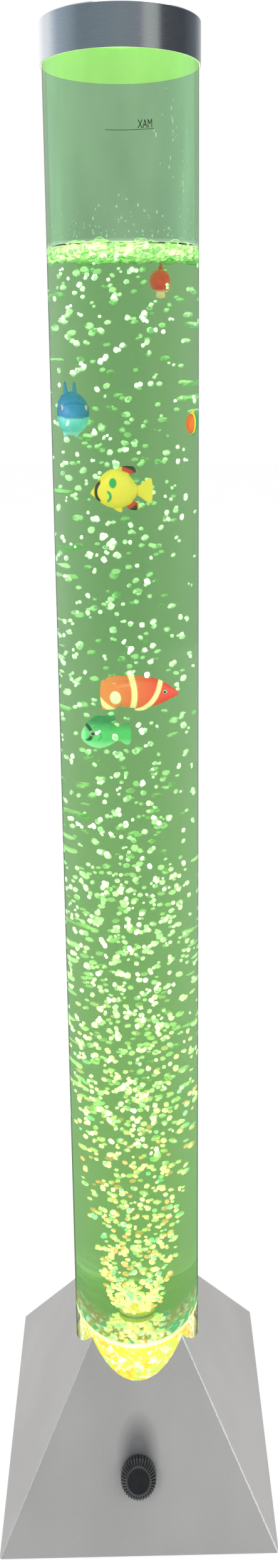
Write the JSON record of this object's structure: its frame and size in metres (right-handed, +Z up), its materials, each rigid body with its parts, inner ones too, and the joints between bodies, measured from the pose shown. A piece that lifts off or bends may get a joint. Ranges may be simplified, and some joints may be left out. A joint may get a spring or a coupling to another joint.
{
  "type": "bubble tube floor lamp",
  "caption": "Floor lamp with a tall clear water tube, air bubbles and drifting fish, on a folded pyramid base with a brightness knob, closed by a lift-off cap.",
  "frame": {"origin": "on the floor under the tube's axis, at the bottom centre of the rubber feet", "axes": "+Z up along the tube, -Y out of the front face that carries the knob, +X to the right of a person who faces the knob"},
  "size_m": [0.21, 0.21, 1.0895],
  "materials": {
    "base_shell": "satin",
    "corner_blocks": "matte",
    "base_plate": "satin",
    "plate_screws": "satin",
    "rubber_feet": "matte",
    "tube_cradle": "matte",
    "cradle_screws": "satin",
    "tube": "clear gloss",
    "tube_gasket": "matte",
    "tube_floor": "clear gloss",
    "air_nozzle": "matte",
    "nozzle_seal": "matte",
    "nozzle_nut": "matte",
    "led_board": "matte",
    "leds": "gloss",
    "board_spacers": "matte",
    "pump_case": "matte",
    "pump_lid": "matte",
    "pump_mounts": "matte",
    "check_valve": "gloss",
    "hose_lower": "satin",
    "hose_upper": "satin",
    "dimmer": "satin",
    "dimmer_nut": "satin",
    "dimmer_shaft": "satin",
    "knob": "satin",
    "knob_cap": "gloss",
    "driver_board": "satin",
    "driver_posts": "matte",
    "driver_parts": "satin",
    "cable_gland": "matte",
    "gland_locknut": "matte",
    "dimmer_lead": "matte",
    "pump_lead": "matte",
    "led_lead": "matte",
    "cap_shell": "brushed satin",
    "cap_seal": "matte",
    "fish_red": "gloss",
    "fish_blue": "gloss",
    "fish_orange": "gloss",
    "fish_yellow": "gloss",
    "fish_striped": "gloss",
    "fish_green": "gloss"
  },
  "bodies": {
    "base": {"base_shell": "base_shell", "corner_blocks": "corner_blocks", "base_plate": "base_plate", "plate_screws": "plate_screws", "rubber_feet": "rubber_feet", "tube_cradle": "tube_cradle", "cradle_screws": "cradle_screws", "tube": "tube", "tube_gasket": "tube_gasket", "tube_floor": "tube_floor", "air_nozzle": "air_nozzle", "nozzle_seal": "nozzle_seal", "nozzle_nut": "nozzle_nut", "led_board": "led_board", "leds": "leds", "board_spacers": "board_spacers", "pump_case": "pump_case", "pump_lid": "pump_lid", "pump_mounts": "pump_mounts", "check_valve": "check_valve", "hose_lower": "hose_lower", "hose_upper": "hose_upper", "dimmer": "dimmer", "dimmer_nut": "dimmer_nut", "driver_board": "driver_board", "driver_posts": "driver_posts", "driver_parts": "driver_parts", "cable_gland": "cable_gland", "gland_locknut": "gland_locknut", "dimmer_lead": "dimmer_lead", "pump_lead": "pump_lead", "led_lead": "led_lead"},
    "knob": {"dimmer_shaft": "dimmer_shaft", "knob": "knob", "knob_cap": "knob_cap"},
    "cap": {"cap_shell": "cap_shell", "cap_seal": "cap_seal"},
    "fish_red": {"fish_red": "fish_red"},
    "fish_blue": {"fish_blue": "fish_blue"},
    "fish_orange": {"fish_orange": "fish_orange"},
    "fish_yellow": {"fish_yellow": "fish_yellow"},
    "fish_striped": {"fish_striped": "fish_striped"},
    "fish_green": {"fish_green": "fish_green"}
  },
  "joints": [
    {"name": "knob_turn", "type": "hinge", "parent": "base", "child": "knob", "pos_m": [0, -0.07997, 0.0483], "axis": [0, -0.8752, 0.4837], "range_deg": [-140, 140]},
    {"name": "cap_lift", "type": "slide", "parent": "base", "child": "cap", "axis": [0, 0, 1], "range_m": [0, 0.05]},
    {"name": "fish_red_drift", "type": "slide", "parent": "base", "child": "fish_red", "axis": [0, 0, 1], "range_m": [-0.7, 0.01]},
    {"name": "fish_blue_drift", "type": "slide", "parent": "base", "child": "fish_blue", "axis": [0, 0, 1], "range_m": [-0.1, 0.08]},
    {"name": "fish_orange_drift", "type": "slide", "parent": "base", "child": "fish_orange", "axis": [0, 0, 1], "range_m": [-0.66, 0.1]},
    {"name": "fish_yellow_drift", "type": "slide", "parent": "base", "child": "fish_yellow", "axis": [0, 0, 1], "range_m": [-0.04, 0.13]},
    {"name": "fish_striped_drift", "type": "slide", "parent": "base", "child": "fish_striped", "axis": [0, 0, 1], "range_m": [-0.46, 0.04]},
    {"name": "fish_green_drift", "type": "slide", "parent": "base", "child": "fish_green", "axis": [0, 0, 1], "range_m": [-0.43, 0.06]}
  ]
}
